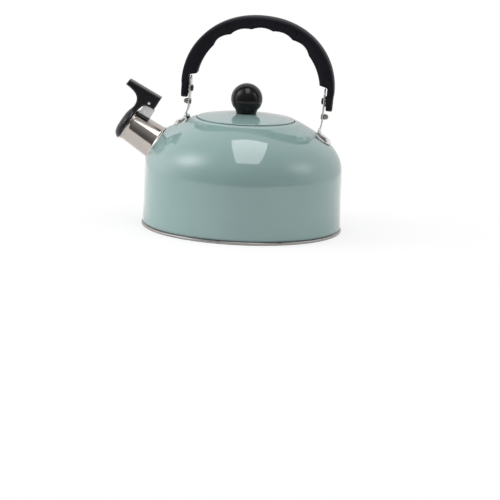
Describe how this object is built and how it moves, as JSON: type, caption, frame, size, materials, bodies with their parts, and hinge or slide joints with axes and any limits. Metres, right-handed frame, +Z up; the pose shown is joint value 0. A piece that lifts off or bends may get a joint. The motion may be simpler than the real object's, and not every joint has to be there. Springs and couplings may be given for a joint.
{
  "type": "stovetop whistling kettle",
  "caption": "Stovetop kettle with a short tilted spout, a spring-loaded whistle cap on a thumb lever, a lift-off domed lid with a ball knob and a folding arched handle with finger scallops.",
  "frame": {"origin": "centre of the base on the surface it stands on", "axes": "+Z up, the spout points along -X, and +X runs from the spout to the rear handle bracket"},
  "size_m": [0.2301, 0.2, 0.2121],
  "materials": {
    "enamel": "gloss",
    "polished_steel": "polished",
    "brushed_steel": "satin",
    "satin_black": "satin",
    "gloss_black": "gloss",
    "dark_strip": "matte",
    "dark_screw": "blackened",
    "brass": "satin"
  },
  "bodies": {
    "kettle": {"body_shell": "enamel", "mouth_collar": "brushed_steel", "base_pan": "polished_steel", "spout_tube": "polished_steel", "bracket_saddle": "dark_strip", "lever_bracket": "polished_steel", "lever_pin": "polished_steel", "lever_spring": "brushed_steel", "front_bracket": "polished_steel", "rear_bracket": "polished_steel", "front_stop_stud": "polished_steel", "rear_stop_stud": "polished_steel"},
    "lid": {"lid_shell": "enamel", "lid_skirt": "brushed_steel", "lid_knob": "gloss_black", "knob_insert": "brass", "knob_washer": "brushed_steel", "knob_screw": "brushed_steel"},
    "whistle": {"whistle_lever": "gloss_black", "whistle_cup": "brushed_steel", "whistle_plate": "brushed_steel"},
    "handle": {"handle_grip": "satin_black", "front_pivot_screw": "dark_screw", "front_pivot_washer": "brushed_steel", "rear_pivot_screw": "dark_screw", "rear_pivot_washer": "brushed_steel"}
  },
  "joints": [
    {"name": "lid_lift", "type": "slide", "parent": "kettle", "child": "lid", "axis": [0, 0, 1], "range_m": [0, 0.04]},
    {"name": "handle_fold", "type": "hinge", "parent": "kettle", "child": "handle", "pos_m": [0.0102, 0, 0.134], "axis": [0.999, 0, -0.0454], "range_deg": [-95, 95]},
    {"name": "whistle_open", "type": "hinge", "parent": "kettle", "child": "whistle", "pos_m": [-0.09657, 0, 0.1196], "axis": [0, 1, 0], "range_deg": [0, 60], "stiffness_Nm_per_rad": 0.01, "springref_deg": -28.65, "deforming": ["lever_spring"]}
  ]
}
